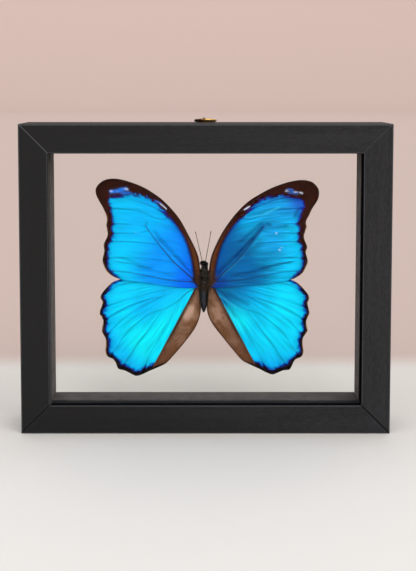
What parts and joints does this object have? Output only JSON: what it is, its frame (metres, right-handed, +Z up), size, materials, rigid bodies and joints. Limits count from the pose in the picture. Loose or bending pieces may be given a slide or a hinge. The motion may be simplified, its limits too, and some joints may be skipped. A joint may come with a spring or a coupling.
{
  "type": "framed butterfly specimen",
  "caption": "Spread blue morpho butterfly held between two clear panes in a small black wooden frame, with a brass hanging ring on a screw eye on top.",
  "frame": {"origin": "middle of the frame's underside, on the surface that it stands on", "axes": "+X to the right seen from the front, +Y to the back, +Z up; the front of the frame faces -Y"},
  "size_m": [0.203, 0.036, 0.1742],
  "materials": {
    "black_wood": "satin black stain over fine grain, softly rounded edges",
    "spacer_card": "dark grey matt spacer",
    "bead_wood": "black matt strip",
    "clear_glass": "clear polished float glass",
    "brass": "plated brass, slightly darkened",
    "body_chitin": "black insect shell with short brown hairs",
    "forewing_scales": "iridescent azure wing scales with a dark brown border",
    "hindwing_scales": "iridescent cyan wing scales, black scalloped border, brown inner fold",
    "clear_glue": "clear hardened glue"
  },
  "bodies": {
    "frame": {"rail_top": "black_wood", "rail_bottom": "black_wood", "rail_left": "black_wood", "rail_right": "black_wood", "front_glass": "clear_glass", "back_glass": "clear_glass", "spacer_top": "spacer_card", "spacer_bottom": "spacer_card", "spacer_left": "spacer_card", "spacer_right": "spacer_card", "stop_bead_top": "bead_wood", "stop_bead_bottom": "bead_wood", "stop_bead_left": "bead_wood", "stop_bead_right": "bead_wood", "screw_eye": "brass", "butterfly_body": "body_chitin", "left_antenna": "body_chitin", "right_antenna": "body_chitin", "left_forewing": "forewing_scales", "right_forewing": "forewing_scales", "left_hindwing": "hindwing_scales", "right_hindwing": "hindwing_scales", "glue_dab": "clear_glue"},
    "ring": {"hanging_ring": "brass"}
  },
  "joints": [
    {"name": "ring_swing", "type": "hinge", "parent": "frame", "child": "ring", "pos_m": [0, -0.002, 0.1723], "axis": [1, 0, 0], "range_deg": [0, 160]}
  ]
}
